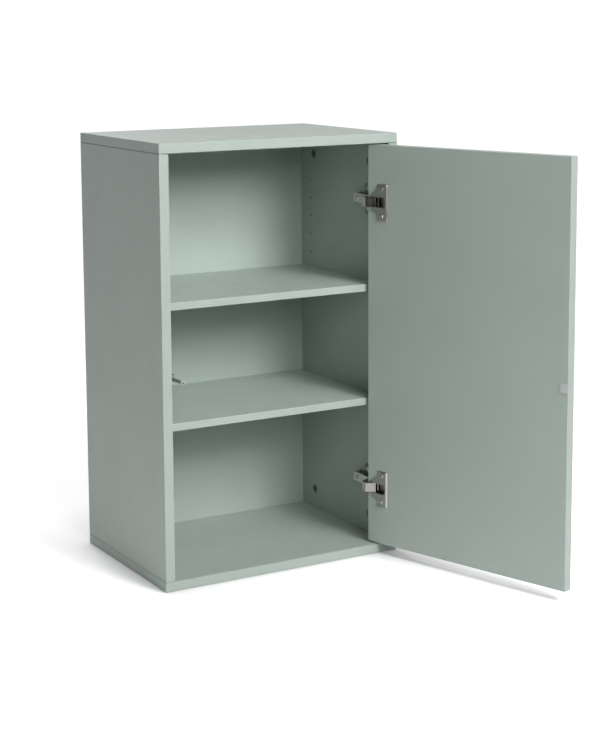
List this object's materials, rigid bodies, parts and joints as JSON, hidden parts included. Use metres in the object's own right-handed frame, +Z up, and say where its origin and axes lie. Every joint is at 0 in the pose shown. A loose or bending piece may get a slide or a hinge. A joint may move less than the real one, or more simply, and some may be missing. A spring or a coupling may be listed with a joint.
{
  "type": "wall cabinet",
  "caption": "Narrow upright wall cabinet of lacquered board with an inset swinging door, inner shelves, concealed cup hinges and a push latch with a sprung plunger.",
  "frame": {"origin": "middle of the bottom panel's underside", "axes": "+Z up, -Y out of the front, +X to the right as seen from the front"},
  "size_m": [0.5173, 0.6605, 0.704],
  "materials": {
    "sage_lacquer": "satin lacquer on board",
    "nickel_steel": "nickel plated pressed steel",
    "screw_steel": "zinc plated steel",
    "dark_zinc": "dark cast zinc",
    "zinc_plate": "zinc plated steel sheet",
    "beech": "raw beech",
    "dark_plastic": "dark moulded plastic",
    "grey_plastic": "grey moulded plastic",
    "pale_plastic": "pale moulded plastic",
    "dark_magnet": "dark magnet face",
    "pale_steel": "pale painted steel"
  },
  "bodies": {
    "carcass": {"top_panel": "sage_lacquer", "bottom_panel": "sage_lacquer", "left_side_panel": "sage_lacquer", "right_side_panel": "sage_lacquer", "back_panel": "sage_lacquer", "upper_shelf": "sage_lacquer", "lower_shelf": "sage_lacquer", "shelf_wires": "screw_steel", "cam_locks": "dark_zinc", "cam_bolts": "screw_steel", "corner_dowels": "beech", "upper_hinge_plate": "dark_zinc", "lower_hinge_plate": "dark_zinc", "upper_hinge_arm": "nickel_steel", "lower_hinge_arm": "nickel_steel", "hinge_plate_screws": "screw_steel", "arm_fixing_screws": "screw_steel", "arm_adjusting_screws": "screw_steel", "latch_housing": "dark_plastic", "latch_barrel": "grey_plastic", "latch_screws": "screw_steel", "hanger_plates": "zinc_plate", "hanger_screws": "screw_steel"},
    "door": {"door_panel": "sage_lacquer", "upper_hinge_cup": "nickel_steel", "lower_hinge_cup": "nickel_steel", "upper_hinge_pin": "screw_steel", "lower_hinge_pin": "screw_steel", "hinge_cup_screws": "screw_steel", "strike_plate": "pale_steel"},
    "plunger": {"latch_plunger": "grey_plastic", "plunger_tip": "pale_plastic", "plunger_magnet": "dark_magnet"}
  },
  "joints": [
    {"name": "door_hinge", "type": "hinge", "parent": "carcass", "child": "door", "pos_m": [0.183, -0.1442, 0.352], "axis": [0, 0, 1], "range_deg": [-107.3, 0]},
    {"name": "plunger_press", "type": "slide", "parent": "carcass", "child": "plunger", "axis": [0, 1, 0], "range_m": [0, 0.0374]}
  ],
  "couplings": [
    {"joint": "plunger_press", "follows": "door_hinge", "m_per_rad": -0.019917}
  ]
}
